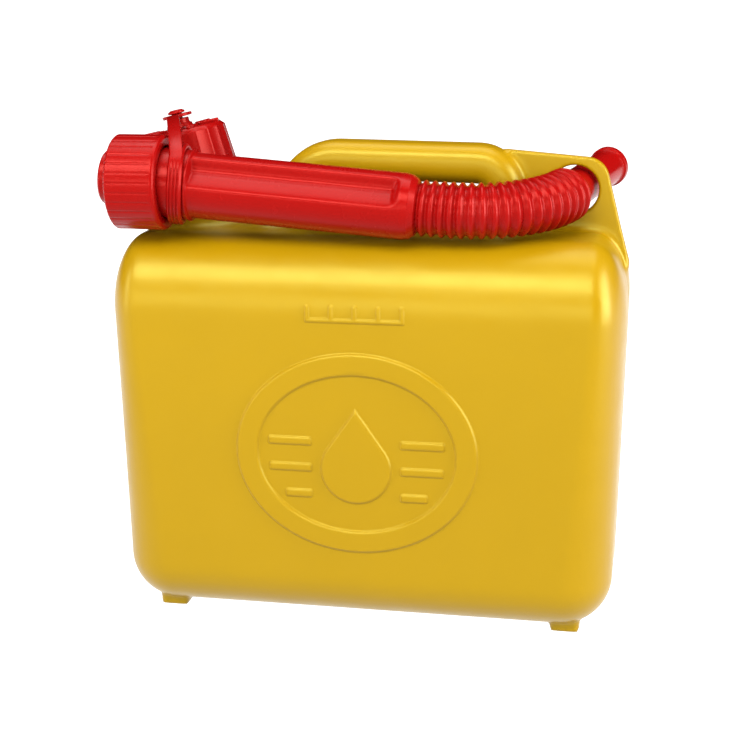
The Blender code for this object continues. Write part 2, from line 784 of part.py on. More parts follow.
def build_nozzle(material, parent):
    """Smooth nozzle that passes through the web, with a lip at its mouth."""
    start = bellows_point(BELLOWS_LENGTH)
    frame = axes_matrix(start, nozzle_axis(), (nozzle_axis().y, -nozzle_axis().x, 0))
    end = NOZZLE_LENGTH
    profile = [
        (BELLOWS_BORE_R - 1.0, GAP / 2),
        (ROOT_R, GAP / 2),
        (ROOT_R, 1.2),
        (NOZZLE_R, 2.4),
        (NOZZLE_R - 0.3, end - 4.0),
        (NOZZLE_LIP_R, end - 3.0),
        (NOZZLE_LIP_R, end - 0.6),
        (NOZZLE_LIP_R - 0.6, end),
        (NOZZLE_BORE_R, end),
        (NOZZLE_BORE_R, 3.0),
    ]
    return make_node("nozzle", turned(profile, 28), frame, material, parent)


def build_seal(name, inner, outer, low, high, frame, material, parent):
    """Flat sealing ring."""
    profile = [(inner, low), (outer, low), (outer, high), (inner, high)]
    return make_node(name, turned(profile, 32), frame, material, parent)


def main():
    """Builds every piece under one frame."""
    reset_scene()
    yellow = principled("yellow_polyethylene", YELLOW, 0.38)
    red = principled("red_polyethylene", RED, 0.32)
    grey = principled("seal_rubber", SEAL_GREY, 0.75)
    can_frame = bpy.data.objects.new("can_frame", None)
    bpy.context.scene.collection.objects.link(can_frame)
    left_reach = NUT_END[0] - SPIGOT_REACH * tube_axis().x - SPIGOT_R * -tube_axis().z
    front_reach = SPOUT_Y - NUT_R
    middle = Vector((left_reach + LENGTH / 2, front_reach + DEPTH / 2, 0)) / 2
    can_frame.location = -middle * MM
    build_can(can_frame, yellow)
    build_holder(can_frame, yellow)
    cap_frame = neck_frame()
    spout_frame = tube_frame()
    build_cap(cap_frame, red, can_frame)
    disc = turned_solid(
        [(NECK_R - 0.5, NECK_RIM + GAP), (NECK_R - 0.5, CAP_HEIGHT - CAP_WALL - GAP)], 32
    )
    make_node("cap_seal", disc, cap_frame, grey, can_frame)
    build_strap(cap_frame, red, can_frame)
    build_nut(nut_frame(), red, can_frame)
    gasket_high = NUT_LENGTH - NUT_WALL - NUT_SLACK - SPOUT_FLANGE - GAP
    gasket = (SPIGOT_R + GAP, NUT_BORE_R - 1.6, gasket_high - 1.6, gasket_high)
    build_seal("spout_seal", *gasket, spout_frame, grey, can_frame)
    build_tube(spout_frame, red, can_frame)
    build_bellows(red, can_frame)
    build_nozzle(red, can_frame)


main()
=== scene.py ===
"""Looks of the five-litre fuel canister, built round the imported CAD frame.

Shapes are worked out in millimetres from the middle of the can body, with X along the can, -Y to the
front and Z up. to_frame() takes them to the frame's metres.
"""

import math

import bmesh
import bpy
import numpy as np
from mathutils import Matrix, Vector


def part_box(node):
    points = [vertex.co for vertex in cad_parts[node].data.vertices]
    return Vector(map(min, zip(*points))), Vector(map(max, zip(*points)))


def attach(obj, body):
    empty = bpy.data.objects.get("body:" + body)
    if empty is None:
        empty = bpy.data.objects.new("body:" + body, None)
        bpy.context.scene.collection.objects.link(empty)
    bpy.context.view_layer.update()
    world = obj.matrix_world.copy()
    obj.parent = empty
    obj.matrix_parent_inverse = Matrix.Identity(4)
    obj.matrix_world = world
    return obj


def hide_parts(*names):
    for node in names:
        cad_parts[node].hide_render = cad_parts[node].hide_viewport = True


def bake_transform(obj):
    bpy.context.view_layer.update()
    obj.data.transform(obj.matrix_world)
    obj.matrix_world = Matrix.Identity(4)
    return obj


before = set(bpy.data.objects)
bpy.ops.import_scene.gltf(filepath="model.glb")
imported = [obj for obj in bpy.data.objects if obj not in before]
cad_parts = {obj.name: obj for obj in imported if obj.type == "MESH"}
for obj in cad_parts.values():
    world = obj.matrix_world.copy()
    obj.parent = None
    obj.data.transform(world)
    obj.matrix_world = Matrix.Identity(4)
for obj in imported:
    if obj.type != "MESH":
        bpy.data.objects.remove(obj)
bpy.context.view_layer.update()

# ---------------------------------------------------------------- dimensions, in millimetres
LENGTH = 265.0
DEPTH = 120.0
FACE = -DEPTH / 2
FLOOR_Z = 4.0
TOP_Z = 204.5
SHOULDER_RISE = 38.0
SHOULDER_RUN = (18.5, 30.0)
BOTTOM_R = 26.0
END_TAPER = 3.4
FOOT_X = 106.0
FOOT_Y = 34.0
FOOT_HALF = (7.75, 8.5)
FOOT_CORNER = 3.0
FOOT_EDGE = 1.0
FOOT_REACH = 12.0
SEAM_RISE = 0.22
SEAM_WIDTH = 0.45
GRIP_BLEND = 9.0
WEB_BLEND = 3.5
NECK_BLEND = 9.0
FOOT_BLEND = 2.5
CORE_DEPTH = 12.0
GRID_LOW = (-136.0, -64.0, -3.0)
GRID_HIGH = (136.0, 64.0, 254.0)
GRID_STEP = 2.0
MARK_CUTS = 3
BORDER_CUTS = 1

BADGE_Z = 97.7
BADGE_R = 52.5
BADGE_WIDER = 9.5
BADGE_BAND = 11.0
BADGE_HEIGHT = 1.4
DROP_R = 18.0
DROP_Z = BADGE_Z - 8.0
DROP_TIP = 1.75
LEVEL_Z = (75.7, 89.7, 103.7)
LEVEL_NEAR = 23.0
LEVEL_FAR_R = 36.5
LEVEL_HALF = 2.0
LEVEL_CORNER = 0.9
LEVEL_HEIGHT = 1.0
FILL_HALF = 25.0
FILL_Z = 166.0
FILL_TOP = 174.5
FILL_TICKS = 5
FILL_LINE_HALF = 1.0
FILL_CORNER = 0.4
FILL_HEIGHT = 0.8
BADGE_EDGE = 1.5
LEVEL_EDGE = 1.2
FILL_EDGE = 0.9

GRIP_HALF = (10.0, 13.0)
GRIP_CORNER = 8.5
GRIP_CORNERS = ((-61.0, 188.0), (-33.5, 240.0), (68.0, 238.3), (68.0, 188.0))
GRIP_FILLETS = (24.0, 14.0)
WEB_HALF = 2.25
WEB_CORNERS = ((66.0, 185.0), (66.0, 246.0), (118.3, 241.6), (127.2, 207.0), (132.4, 188.0), (126.0, 172.0))
WEB_FILLETS = (4.0, 12.0, 30.0, 8.0)
WEB_HOLE = (103.4, 225.9)
WEB_HOLE_R = 12.5
WEB_EDGE = 1.1

NECK_LEAN = math.radians(13.0)
CAP_FOOT = (-102.1, 8.0, 230.1)
NECK_BORE_R = 17.0
NECK_RIM = 18.2
NECK_COLLAR_R = 23.0
NECK_BASE_R = 27.0
NECK_FINISH_R = 19.8
NECK_POCKET_R = 18.4
NECK_EDGE = 1.2
NECK_FLARE = 12.0
NECK_ROOT = 36.0
NECK_POCKET_DEPTH = 30.0
COLLAR_DROP = 0.3
THREAD_LEAD = 3.5
CAP_R = 25.2
CAP_TOP_R = 23.8
CAP_BORE_R = 21.8
CAP_HEIGHT = 24.0
CAP_LANDS = 20
CAP_BARS = 6
CAP_HOLLOW = 2.0
STUD_R = 2.7
STUD_HEAD_R = 4.6
STUD_HEIGHT = 10.4
EYELET_LOW = CAP_HEIGHT + 6.3
EYELET_R = 8.0
EYELET_THICK = 1.6
EYELET_BORE_R = STUD_R + 0.3

SPOUT_Y = -42.5
NUT_END = (-124.9, SPOUT_Y, 233.9)
TUBE_SLOPE = 0.08
TUBE_R = 16.5
TUBE_END_X = 30.0
SPIGOT_R = 13.75
NUT_R = 24.0
NUT_BORE_R = 21.8
NUT_LENGTH = 26.0
NUT_LANDS = 30
COLLAR_R = 17.6
LOOP_R = 20.6
LOOP_HALF = 3.8
LOOP_BACK = 30.9
LOOP_SWAY = 4.3
LOOP_RIDGES = 4
LOOP_RIDGE_STEPS = 10
LOOP_BORE_R = COLLAR_R + 0.3
BAND_HALF = 2.8
BAND_HALF_THICK = 0.25
BAND_CORNER = 0.5
BAND_ANGLE = math.radians(55.0)
BAND_TAIL = math.radians(35.0)
BAND_SUNK = 1.3
BAND_STEPS = 36
BAND_TAIL_STEPS = 8
COLLAR_END = LOOP_BACK + LOOP_SWAY + LOOP_HALF + 0.3
FLANGE_R = 18.2
NUT_WALL = 3.0
NUT_CHAMFER = 1.6
NUT_PLAY = 0.9
FLANGE_FACE = NUT_LENGTH - NUT_WALL - 1.9
FLANGE_THICK = 3.5
NUT_GROOVE_DEPTH = 0.35
NUT_GROOVE_SHARE = 0.22
FLUTE_ANGLE = math.radians(-33.6)
FLUTE_WIDTH = math.radians(60.0)
FLUTE_DEPTH = 4.4
FLUTE_SKEW = 0.6
FLUTE_END = 4.5
FLUTE_SQUARE = 3.5
TUBE_WALL = 1.6
FLUTE_ROOM = 4.8

BEND = math.radians(70.0)
BEND_R = 52.0
BELLOWS_END_Y = SPOUT_Y + BEND_R * (1 - math.cos(BEND))
BELLOWS_END_X = WEB_HOLE[0] + BELLOWS_END_Y / math.tan(BEND)
BELLOWS_STRAIGHT = BELLOWS_END_X - BEND_R * math.sin(BEND) - TUBE_END_X
BELLOWS_LENGTH = BELLOWS_STRAIGHT + BEND_R * BEND
CREST_R = 14.0
ROOT_R = 12.2
BELLOWS_BORE_R = 10.9
CREST_PITCH = 4.7
HINGES = 5
HINGE_HALF = 4.2
BELLOWS_SIDES = 64
NOZZLE_RISE = 0.14
NOZZLE_LENGTH = 56.0
NOZZLE_BORE_R = 8.0
NOZZLE_LIP_R = 10.6

body_low, body_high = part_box("can_body")
ORIGIN = Vector(((body_low.x + body_high.x) / 2, body_high.y - DEPTH / 2000, 0))


def to_frame(points):
    """Millimetres from the can's middle to the frame's metres."""
    return np.asarray(points, float) * 0.001 + np.array(ORIGIN)


def smoothstep(x):
    """Ease from 0 to 1."""
    x = np.clip(x, 0.0, 1.0)
    return x * x * (3 - 2 * x)


# ---------------------------------------------------------------- meshes
def add_piece(name, points, faces, material, body, nodes):
    """Object from millimetre points, riding on a CAD body and standing for CAD nodes."""
    mesh = bpy.data.meshes.new(name)
    mesh.from_pydata([tuple(p) for p in to_frame(points)], [], [tuple(int(i) for i in f) for f in faces])
    work = bmesh.new()
    work.from_mesh(mesh)
    bmesh.ops.recalc_face_normals(work, faces=work.faces)
    work.to_mesh(mesh)
    work.free()
    mesh.shade_smooth()
    mesh.materials.append(material)
    piece = bpy.data.objects.new(name, mesh)
    bpy.context.scene.collection.objects.link(piece)
    if nodes:
        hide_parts(*nodes)
    if body:
        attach(piece, body)
    return piece


def skin(rings, closed=False):
    """Quads over rings of equal length, capped at both ends unless they close on themselves."""
    count = len(rings[0])
    points = np.concatenate([np.asarray(r, float) for r in rings])
    k = np.arange(count)
    n = (k + 1) % count
    faces = []
    for i in range(len(rings) if closed else len(rings) - 1):
        a = i * count
        b = (i + 1) % len(rings) * count
        faces.extend(np.stack([a + k, a + n, b + n, b + k], 1).tolist())
    if not closed:
        faces.append(list(range(count))[::-1])
        faces.append(list(range(len(points) - count, len(points))))
    return points, faces


def merged(*parts):
    """Several (points, faces) as one."""
    points, faces, base = [], [], 0
    for part_points, part_faces in parts:
        points.append(np.asarray(part_points, float))
        faces.extend([[base + i for i in f] for f in part_faces])
        base += len(part_points)
    return np.concatenate(points), faces


def softened(profile, radius, steps=4, closed=True):
    """Profile whose corners are rounded, with a point just before and after each rounding."""
    points = [Vector(p) for p in profile]
    out = []
    count = len(points)
    for i, corner in enumerate(points):
        if not closed and i in (0, count - 1):
            out.append(tuple(corner))
            continue
        before = points[i - 1] - corner
        after = points[(i + 1) % count] - corner
        if before.length < 1e-6 or after.length < 1e-6:
            continue
        half = before.angle(after) / 2
        if half > math.radians(86):
            out.append(tuple(corner))
            continue
        reach = min(radius / math.tan(half), before.length * 0.42, after.length * 0.42)
        r = reach * math.tan(half)
        before.normalize()
        after.normalize()
        centre = corner + (before + after).normalized() * r / math.sin(half)
        start = corner + before * reach - centre
        end = corner + after * reach - centre
        out.append(tuple(corner + before * reach * 1.15))
        for k in range(steps + 1):
            out.append(tuple(centre + start.slerp(end, k / steps).normalized() * r))
        out.append(tuple(corner + after * reach * 1.15))
    return out


def refined(profile, longest, closed=True):
    """Profile with extra points so that no stretch is longer than given."""
    out = []
    count = len(profile)
    for i in range(count if closed else count - 1):
        a = np.array(profile[i], float)
        b = np.array(profile[(i + 1) % count], float)
        pieces = max(1, int(math.ceil(np.linalg.norm(b - a) / longest)))
        out.extend([tuple(a + (b - a) * k / pieces) for k in range(pieces)])
    if not closed:
        out.append(tuple(profile[-1]))
    return out


def turned(profile, sides, matrix, shape=None, closed=True):
    """Solid turned about a frame's Z; shape(angles, radius, height) gives what is added to the radius."""
    angles = 2 * np.pi * np.arange(sides) / sides
    rings = []
    for radius, height in profile:
        r = np.full(sides, float(radius))
        if shape is not None:
            r = r + shape(angles, radius, height)
        ring = np.stack([r * np.cos(angles), r * np.sin(angles), np.full(sides, float(height))], 1)
        rings.append(placed(ring, matrix))
    return skin(rings, closed)


def placed(points, matrix):
    """Points of a local frame, in millimetres from the can's middle."""
    m = np.array(matrix)
    return np.asarray(points, float) @ m[:3, :3].T + m[:3, 3]


def axes_matrix(origin, z_axis, x_hint):
    """Frame at a point with a given Z axis, whose X axis lies as near the hint as it can."""
    z = Vector(z_axis).normalized()
    y = z.cross(Vector(x_hint)).normalized()
    out = Matrix((y.cross(z), y, z)).transposed().to_4x4()
    out.translation = Vector(origin)
    return out


def filleted(corners, radii, steps):
    """Open polyline whose inner corners are replaced by arcs."""
    points = [Vector(corners[0])]
    for before, corner, after, radius in zip(corners, corners[1:], corners[2:], radii):
        corner = Vector(corner)
        to_a = (Vector(before) - corner).normalized()
        to_b = (Vector(after) - corner).normalized()
        half = to_a.angle(to_b) / 2
        centre = corner + (to_a + to_b).normalized() * radius / math.sin(half)
        start = corner + to_a * radius / math.tan(half) - centre
        end = corner + to_b * radius / math.tan(half) - centre
        for k in range(steps + 1):
            points.append(centre + start.slerp(end, k / steps).normalized() * radius)
    points.append(Vector(corners[-1]))
    return np.array([tuple(p) for p in points])


# ---------------------------------------------------------------- frames along the neck and the spout
NECK_AXIS = Vector((-math.sin(NECK_LEAN), 0, math.cos(NECK_LEAN)))
TUBE_AXIS = Vector((1, 0, -TUBE_SLOPE)).normalized()
NOZZLE_AXIS = Vector((math.cos(BEND), math.sin(BEND), NOZZLE_RISE)).normalized()
NECK_FRAME = axes_matrix(CAP_FOOT, NECK_AXIS, (0, -1, 0))


def tube_frame(distance=0.0):
    """Frame on the spout's axis, at a distance from its inlet end."""
    return axes_matrix(Vector(NUT_END) + TUBE_AXIS * distance, TUBE_AXIS, (0, -1, 0))


def nut_frame():
    """Frame of the loose nut, which hangs level while the spout slopes through it."""
    reach = NUT_LENGTH - NUT_WALL / 2
    pivot = tube_frame(reach).translation
    return axes_matrix(pivot - Vector((reach, 0, 0)), (1, 0, 0), (0, -1, 0))


def bellows_point(s):
    """Point on the middle line of the bellows at a plan length s from the tube."""
    total = BELLOWS_LENGTH
    start_z = NUT_END[2] - TUBE_SLOPE * (TUBE_END_X - NUT_END[0])
    end_z = WEB_HOLE[1] + BELLOWS_END_Y * NOZZLE_RISE / math.sin(BEND)
    turn = min(max(s - BELLOWS_STRAIGHT, 0.0) / BEND_R, BEND)
    x = TUBE_END_X + min(s, BELLOWS_STRAIGHT) + BEND_R * math.sin(turn)
    y = SPOUT_Y + BEND_R * (1 - math.cos(turn))
    t = s / total
    height = (2 * t**3 - 3 * t**2 + 1) * start_z + (3 * t**2 - 2 * t**3) * end_z
    height += total * (t**3 - 2 * t**2 + t) * -TUBE_SLOPE
    height += total * (t**3 - t**2) * NOZZLE_RISE
    return Vector((x, y, height))


def bellows_frame(s):
    """Frame across the bellows at a plan length s from the tube."""
    low = max(s - 0.05, 0.0)
    high = min(s + 0.05, BELLOWS_LENGTH)
    along = bellows_point(high) - bellows_point(low)
    return axes_matrix(bellows_point(s), along, (along.y, -along.x, 0))


def hinge_length(index):
    """Plan length from the tube to the hinge with this number."""
    return BELLOWS_STRAIGHT + BEND_R * BEND * (index - 0.5) / HINGES


# ---------------------------------------------------------------- the can as a distance field
GRIP_PATH = filleted(GRIP_CORNERS, GRIP_FILLETS, 10)
WEB_OUTLINE = filleted(WEB_CORNERS, WEB_FILLETS, 10)


def join(a, b, k):
    """Smooth union of two distances."""
    h = np.maximum(k - np.abs(a - b), 0.0) / k
    return np.minimum(a, b) - h * h * k / 4


def rounded_slab(plan, height, r):
    """Signed distance to a slab of a given outline, with its edges rounded."""
    outside = np.hypot(np.maximum(plan + r, 0), np.maximum(height + r, 0))
    return outside + np.minimum(np.maximum(plan + r, height + r), 0) - r


def line_distance(x, z, path):
    """Distance in side view to an open polyline."""
    best = np.full(x.shape, 1e9)
    for (ax, az), (bx, bz) in zip(path[:-1], path[1:]):
        dx, dz = bx - ax, bz - az
        t = np.clip(((x - ax) * dx + (z - az) * dz) / (dx * dx + dz * dz), 0, 1)
        best = np.minimum(best, (x - ax - t * dx) ** 2 + (z - az - t * dz) ** 2)
    return np.sqrt(best)


def outline_distance(x, z, outline):
    """Signed distance in side view to a closed outline, negative inside."""
    closed = np.vstack([outline, outline[:1]])
    inside = np.zeros(x.shape, bool)
    for (ax, az), (bx, bz) in zip(closed[:-1], closed[1:]):
        if az == bz:
            continue
        crosses = (az > z) != (bz > z)
        inside ^= crosses & (x < (bx - ax) * (z - az) / (bz - az) + ax)
    distance = line_distance(x, z, closed)
    return np.where(inside, -distance, distance)


def rounded_box_2d(u, v, half_u, half_v, r):
    """Signed distance to a rectangle with rounded corners."""
    qu = np.abs(u) - (half_u - r)
    qv = np.abs(v) - (half_v - r)
    outside = np.hypot(np.maximum(qu, 0), np.maximum(qv, 0))
    return outside + np.minimum(np.maximum(qu, qv), 0) - r


def shell_distance(x, y, z):
    """The can's box: elliptical shoulders above, round edges below, ends that lean in downwards."""
    up = TOP_Z - SHOULDER_RISE
    down = FLOOR_Z + BOTTOM_R
    share = smoothstep((z - down) / (up - down))
    run_x = BOTTOM_R + (SHOULDER_RUN[0] - BOTTOM_R) * share
    run_y = BOTTOM_R + (SHOULDER_RUN[1] - BOTTOM_R) * share
    half_x = LENGTH / 2 - END_TAPER * np.clip((up - z) / (up - FLOOR_Z), 0, 1)
    ax = np.maximum(np.abs(x) - half_x + run_x, 0) / run_x
    ay = np.maximum(np.abs(y) - DEPTH / 2 + run_y, 0) / run_y
    rise = np.where(z > up, SHOULDER_RISE, BOTTOM_R)
    az = np.where(z > up, z - up, np.maximum(down - z, 0)) / rise
    q = np.sqrt(ax * ax + ay * ay + az * az)
    slope = np.sqrt((ax / run_x) ** 2 + (ay / run_y) ** 2 + (az / rise) ** 2) / np.maximum(q, 1e-6)
    return np.where(q < 0.2, -CORE_DEPTH, (q - 1) / np.maximum(slope, 1e-4))


def neck_place(x, y, z):
    """Height along the neck's axis from its foot, and distance from that axis."""
    dx, dy, dz = x - CAP_FOOT[0], y - CAP_FOOT[1], z - CAP_FOOT[2]
    height = dx * NECK_AXIS.x + dz * NECK_AXIS.z
    return height, np.sqrt(np.maximum(dx * dx + dy * dy + dz * dz - height * height, 0))


def neck_distance(x, y, z):
    """Solid neck: a cone out of the shoulder and a collar that the cap closes down to."""
    t, radial = neck_place(x, y, z)
    flare = smoothstep((-NECK_FLARE - t) / NECK_FLARE)
    side = (radial - NECK_COLLAR_R - (NECK_BASE_R - NECK_COLLAR_R) * flare) * 0.95
    return np.maximum(rounded_slab(side, t + COLLAR_DROP, NECK_EDGE), -NECK_ROOT - t)


def neck_bore(x, y, z):
    """Pocket down the neck in which the neck's finish stands."""
    t, radial = neck_place(x, y, z)
    return np.maximum(radial - NECK_POCKET_R, -NECK_POCKET_DEPTH - t)


def oval_distance(x, z, half_x, half_z):
    """Distance outside an oval, near enough for a bevel along its edge."""
    reach = np.hypot(x / half_x, z / half_z)
    slope = np.hypot(x / half_x**2, z / half_z**2)
    return reach * (reach - 1) / np.maximum(slope, 1e-6)


def badge_shape(x, z):
    """Distance outside the badge's raised areas in the plane of the front face."""
    inner_r = BADGE_R - BADGE_BAND
    outside = oval_distance(x, z - BADGE_Z, BADGE_R + BADGE_WIDER, BADGE_R)
    inside = oval_distance(x, z - BADGE_Z, inner_r + BADGE_WIDER, inner_r)
    shape = np.maximum(outside, -inside)
    drop = np.hypot(x, z - DROP_Z) - DROP_R
    flank = math.acos(1 / DROP_TIP)
    tip_z = DROP_Z + DROP_R * DROP_TIP
    wedge = np.abs(x) * math.sin(flank) + (z - tip_z) * math.cos(flank)
    above = z - DROP_Z - DROP_R * math.cos(flank)
    cone = np.maximum(wedge, -above)
    return np.minimum(shape, np.minimum(drop, cone))


def bars_shape(x, z):
    """Distance outside the level bars, which end on an oval inside the badge's ring."""
    best = np.full(x.shape, 99.0)
    for middle in LEVEL_Z:
        far = math.sqrt(LEVEL_FAR_R**2 - (middle - BADGE_Z) ** 2) * (1 + BADGE_WIDER / LEVEL_FAR_R)
        centre = (LEVEL_NEAR + far) / 2
        half = (far - LEVEL_NEAR) / 2
        bar = rounded_box_2d(np.abs(x) - centre, z - middle, half, LEVEL_HALF, LEVEL_CORNER)
        best = np.minimum(best, bar)
    return best


def fill_shape(x, z):
    """Distance outside the fill mark: a line with upright ticks on it."""
    line = FILL_LINE_HALF
    best = rounded_box_2d(x, z - FILL_Z - line, FILL_HALF, line, FILL_CORNER)
    half = (FILL_TOP - FILL_Z) / 2
    for middle in np.linspace(line - FILL_HALF, FILL_HALF - line, FILL_TICKS):
        tick = rounded_box_2d(x - middle, z - FILL_Z - half, line, half, FILL_CORNER)
        best = np.minimum(best, tick)
    return best


def relief(x, z):
    """Height of the raised marks on the front face, with drafted edges."""
    badge = BADGE_HEIGHT * smoothstep(0.5 - badge_shape(x, z) / BADGE_EDGE)
    bars = LEVEL_HEIGHT * smoothstep(0.5 - bars_shape(x, z) / LEVEL_EDGE)
    fill = FILL_HEIGHT * smoothstep(0.5 - fill_shape(x, z) / FILL_EDGE)
    return np.maximum(badge, np.maximum(bars, fill))


def can_distance(points):
    """Distance from the whole blow-moulded can, with soft fillets where its parts meet."""
    x, y, z = points[:, 0], points[:, 1], points[:, 2]
    d = shell_distance(x, y, z)
    high = (z > 170) & (np.abs(y) < 34) & (x > -100)
    if high.any():
        hx, hy, hz = x[high], y[high], z[high]
        grip = rounded_box_2d(line_distance(hx, hz, GRIP_PATH), hy, *GRIP_HALF, GRIP_CORNER)
        plan = outline_distance(hx, hz, WEB_OUTLINE)
        hole = WEB_HOLE_R - np.hypot(hx - WEB_HOLE[0], hz - WEB_HOLE[1])
        web = rounded_slab(np.maximum(plan, hole), np.abs(hy) - WEB_HALF, WEB_EDGE)
        d[high] = join(join(d[high], grip, GRIP_BLEND), web, WEB_BLEND)
    left = (x < -55) & (z > 170)
    if left.any():
        lx, ly, lz = x[left], y[left], z[left]
        d[left] = join(d[left], neck_distance(lx, ly, lz), NECK_BLEND)
        d[left] = np.maximum(d[left], -neck_bore(lx, ly, lz))
    low = z < 16
    if low.any():
        u = np.abs(x[low]) - FOOT_X
        v = np.abs(y[low]) - FOOT_Y
        foot = rounded_slab(rounded_box_2d(u, v, *FOOT_HALF, FOOT_CORNER), -z[low], FOOT_EDGE)
        d[low] = join(d[low], np.maximum(foot, z[low] - FOOT_REACH), FOOT_BLEND)
    front = y < -50
    d[front] -= relief(x[front], z[front])
    seam = np.abs(y) < 2
    d[seam] -= SEAM_RISE * np.exp(-((y[seam] / SEAM_WIDTH) ** 2))
    return d


def surface_nets(values, low, step):
    """Quads on the zero surface of a grid of distances."""
    inside = values < 0
    strides = np.array([values.shape[1] * values.shape[2], values.shape[2], 1])
    quads, spots = [], []
    for axis in range(3):
        u, v = (axis + 1) % 3, (axis + 2) % 3
        lower = [slice(None)] * 3
        upper = [slice(None)] * 3
        lower[axis] = slice(0, -1)
        upper[axis] = slice(1, None)
        at = np.argwhere(inside[tuple(lower)] != inside[tuple(upper)])
        after = at.copy()
        after[:, axis] += 1
        fa = values[tuple(at.T)]
        fb = values[tuple(after.T)]
        spot = at.astype(float)
        spot[:, axis] += fa / (fa - fb)
        corner = at @ strides
        around = ((0, 0), (1, 0), (1, 1), (0, 1))
        quad = np.stack([corner - du * strides[u] - dv * strides[v] for du, dv in around], 1)
        quad[fa > 0] = quad[fa > 0][:, ::-1]
        quads.append(quad)
        spots.append(np.repeat(spot, 4, axis=0))
    quads = np.concatenate(quads)
    spots = np.concatenate(spots)
    _, inverse = np.unique(quads.ravel(), return_inverse=True)
    count = np.bincount(inverse)
    points = np.stack([np.bincount(inverse, spots[:, k]) for k in range(3)], 1) / count[:, None]
    return low + points * step, inverse.reshape(-1, 4)


def settled(points, passes=4):
    """Points moved along the field's slope onto its zero surface."""
    points = np.array(points, float)
    eps = 0.02
    for _ in range(passes):
        value = can_distance(points)
        slope = np.empty_like(points)
        for k in range(3):
            shifted = points.copy()
            shifted[:, k] += eps
            back = points.copy()
            back[:, k] -= eps
            slope[:, k] = (can_distance(shifted) - can_distance(back)) / (2 * eps)
        size = np.maximum((slope**2).sum(1), 0.05)
        move = -value[:, None] * slope / size[:, None]
        length = np.linalg.norm(move, axis=1, keepdims=True)
        points += move * np.minimum(1.0, 1.2 / np.maximum(length, 1e-9))
    return points


def sampled_can(step):
    """Points and quads of the can's surface, from its distances on a grid."""
    low = np.array(GRID_LOW)
    dims = np.ceil((np.array(GRID_HIGH) - low) / step).astype(int) + 1
    values = np.empty(dims)
    ys = low[1] + step * np.arange(dims[1])
    zs = low[2] + step * np.arange(dims[2])
    plane = np.stack(np.meshgrid(ys, zs, indexing="ij"), -1).reshape(-1, 2)
    for i in range(dims[0]):
        x = low[0] + step * i
        layer = np.column_stack([np.full(len(plane), x), plane])
        values[i] = can_distance(layer).reshape(dims[1], dims[2])
    return surface_nets(values, low, step)


def fine_areas(centres, step):
    """Which quads lie on the raised marks' edges, and which on the web's edges or the seam."""
    reach = np.array([-1.0, 0.0, 1.0]) * step * 0.55
    ox, oz = [g.ravel() for g in np.meshgrid(reach, reach)]
    front = centres[:, 1] < FACE + 3
    cx = centres[:, 0][:, None] + ox
    cz = centres[:, 2][:, None] + oz
    heights = relief(cx, cz)
    busy = front & (heights.max(1) - heights.min(1) > 0.02)
    hole = np.abs(np.hypot(centres[:, 0] - WEB_HOLE[0], centres[:, 2] - WEB_HOLE[1]) - WEB_HOLE_R) < 3
    web_edge = np.abs(outline_distance(centres[:, 0], centres[:, 2], WEB_OUTLINE)) < 2.5
    web = (np.abs(centres[:, 1]) < 5) & (centres[:, 0] > 72) & (centres[:, 2] > 186) & (hole | web_edge)
    seam = (np.abs(centres[:, 1]) < 1.6) & ~web
    return busy, web | seam


def build_can(material):
    """The can from its distance field, finer where the raised marks, the web and the seam need it."""
    step = GRID_STEP
    points, quads = sampled_can(step)
    mesh = bpy.data.meshes.new("can_fine")
    mesh.from_pydata(points.tolist(), [], quads.tolist())
    work = bmesh.new()
    work.from_mesh(mesh)
    work.faces.ensure_lookup_table()
    areas = fine_areas(points[quads].mean(1), step)
    marks, borders = [[work.faces[int(i)] for i in np.flatnonzero(area)] for area in areas]
    for flagged, cuts in ((marks, MARK_CUTS), (borders, BORDER_CUTS)):
        edges = list({e for f in flagged if f.is_valid for e in f.edges})
        bmesh.ops.subdivide_edges(work, edges=edges, cuts=cuts, use_grid_fill=True)
    work.to_mesh(mesh)
    work.free()
    co = np.empty(len(mesh.vertices) * 3)
    mesh.vertices.foreach_get("co", co)
    points = settled(co.reshape(-1, 3))
    points[:, 0] = np.clip(points[:, 0], -LENGTH / 2, LENGTH / 2)
    faces = [list(p.vertices) for p in mesh.polygons]
    bpy.data.meshes.remove(mesh)
    nodes = ["can_body", "nozzle_holder"]
    return add_piece("can_shell", points, faces, material, "can", nodes)


# ---------------------------------------------------------------- turned pieces
def thread(lead, low, high, height):
    """Helical ridge: what it adds to the radius at an angle and a height."""

    def shape(angles, radius, h):
        phase = (h / lead - angles / (2 * np.pi)) % 1.0
        ridge = smoothstep(1.0 - np.abs(phase - 0.5) / 0.34)
        ends = smoothstep((h - low) / 1.5) * smoothstep((high - h) / 1.5)
        return height * ridge * ends

    return shape


def grooves(count, depth, low, high, share):
    """Narrow grooves between flat lands, fading out at heights low and high."""

    def shape(angles, radius, h):
        phase = (angles * count / (2 * np.pi)) % 1.0
        cut = smoothstep(1.0 - np.abs(phase - 0.5) / (share / 2))
        ends = smoothstep((h - low) / 0.9) * smoothstep((high - h) / 0.9)
        return -depth * cut * ends

    return shape


def facets(count, radius, hollow):
    """Flats between sharp corners, hollowed out a little further than a plain polygon."""

    def shape(angles):
        pitch = 2 * np.pi / count
        off = (angles % pitch) - pitch / 2
        return hollow * radius * (math.cos(pitch / 2) / np.cos(off) - 1.0)

    return shape


